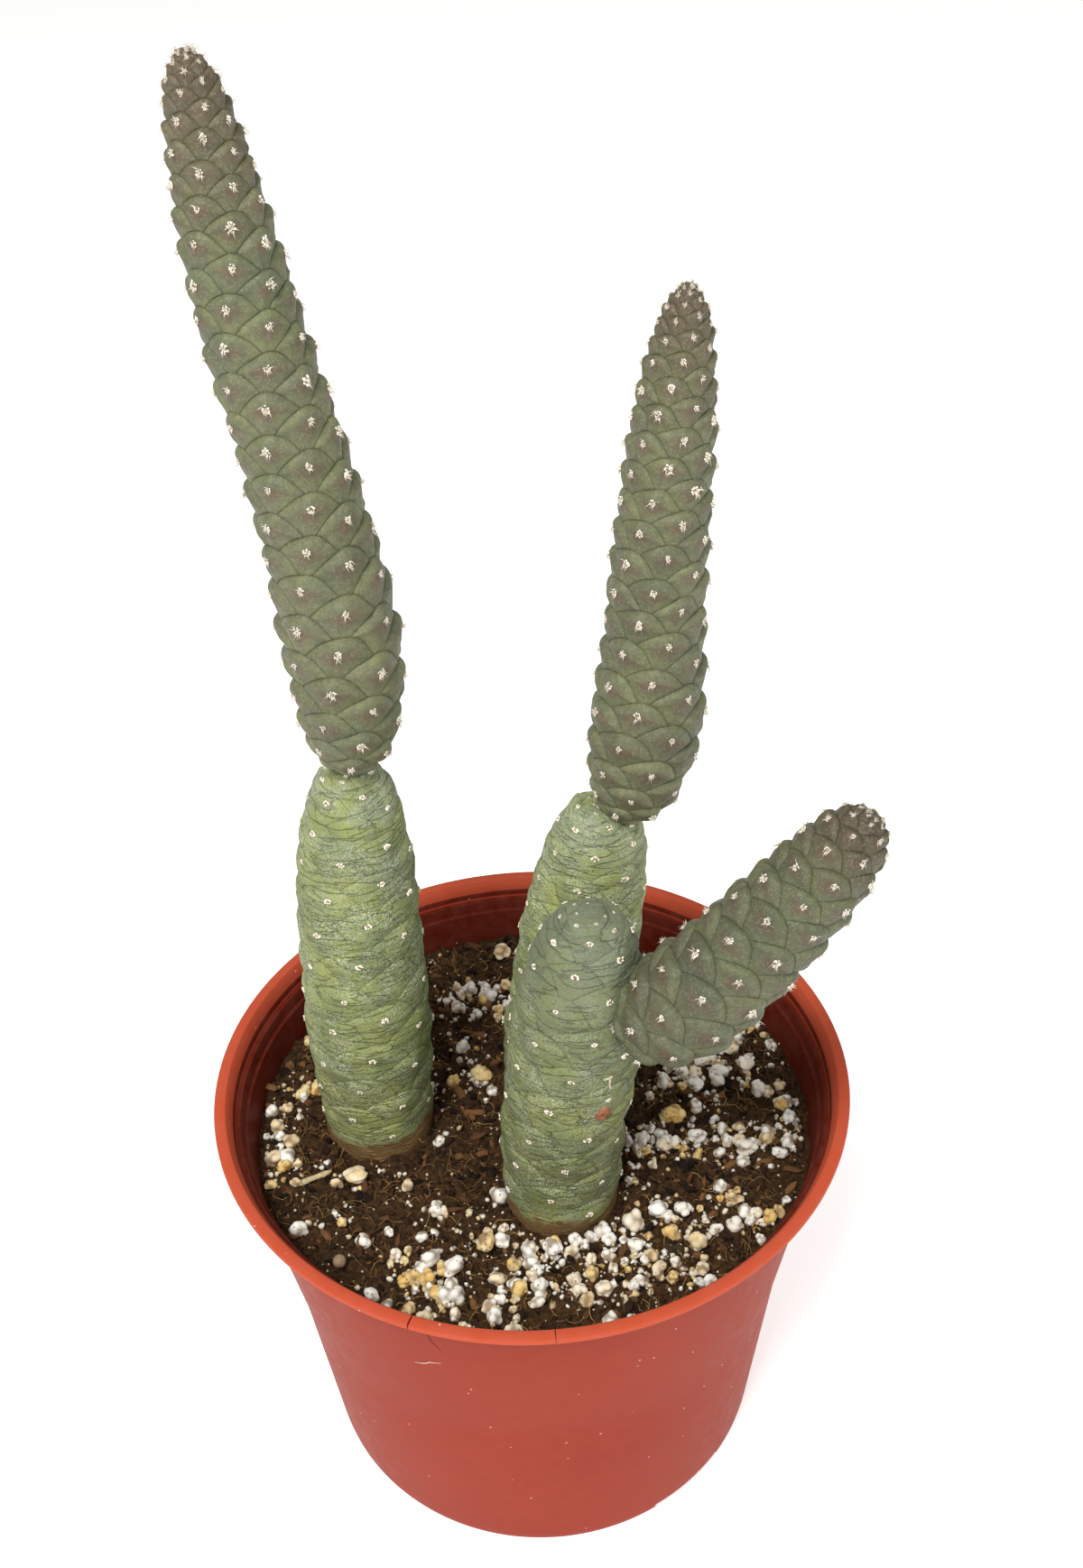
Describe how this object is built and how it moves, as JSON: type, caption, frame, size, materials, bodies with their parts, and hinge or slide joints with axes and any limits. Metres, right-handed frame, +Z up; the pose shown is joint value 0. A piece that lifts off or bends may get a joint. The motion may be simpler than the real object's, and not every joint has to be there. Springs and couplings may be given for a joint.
{
  "type": "potted pine cone cactus",
  "caption": "Potted pine cone cactus: jointed grey-green stems with spiral tubercles in potting soil with perlite, in a round terracotta-red plastic nursery pot",
  "frame": {"origin": "centre of the pot's base, on the surface that the pot stands on", "axes": "+Z up through the pot; -Y is the front; the branch reaches out to +X"},
  "size_m": [0.16, 0.16, 0.358],
  "materials": {
    "pot_plastic": "matte terracotta-red moulded plastic",
    "soil": "damp dark brown peat with fibres",
    "lower_skin": "firm grey-green skin with pale powdery bloom",
    "upper_skin": "firm dusky olive skin, brownish round the areoles",
    "perlite": "rough white to cream expanded volcanic glass",
    "pebble": "smooth brown grit",
    "bark": "dark dry bark",
    "splinter": "dry weathered wood"
  },
  "bodies": {
    "root": {"pot": "pot_plastic", "soil": "soil", "left_lower_segment": "lower_skin", "middle_lower_segment": "lower_skin", "front_lower_segment": "lower_skin", "left_upper_segment": "upper_skin", "middle_upper_segment": "upper_skin", "front_branch_segment": "upper_skin", "pebble": "pebble", "bark_flake": "bark", "wood_splinter": "splinter", "perlite_01": "perlite", "perlite_02": "perlite", "perlite_03": "perlite", "perlite_04": "perlite", "perlite_05": "perlite", "perlite_06": "perlite", "perlite_07": "perlite", "perlite_08": "perlite", "perlite_09": "perlite", "perlite_10": "perlite", "perlite_11": "perlite", "perlite_12": "perlite", "perlite_13": "perlite", "perlite_14": "perlite", "perlite_15": "perlite", "perlite_16": "perlite", "perlite_17": "perlite", "perlite_18": "perlite", "perlite_19": "perlite", "perlite_20": "perlite", "perlite_21": "perlite", "perlite_22": "perlite", "perlite_23": "perlite", "perlite_24": "perlite", "perlite_25": "perlite", "perlite_26": "perlite", "perlite_27": "perlite", "perlite_28": "perlite", "perlite_29": "perlite", "perlite_30": "perlite", "perlite_31": "perlite", "perlite_32": "perlite", "perlite_33": "perlite", "perlite_34": "perlite"}
  },
  "joints": []
}
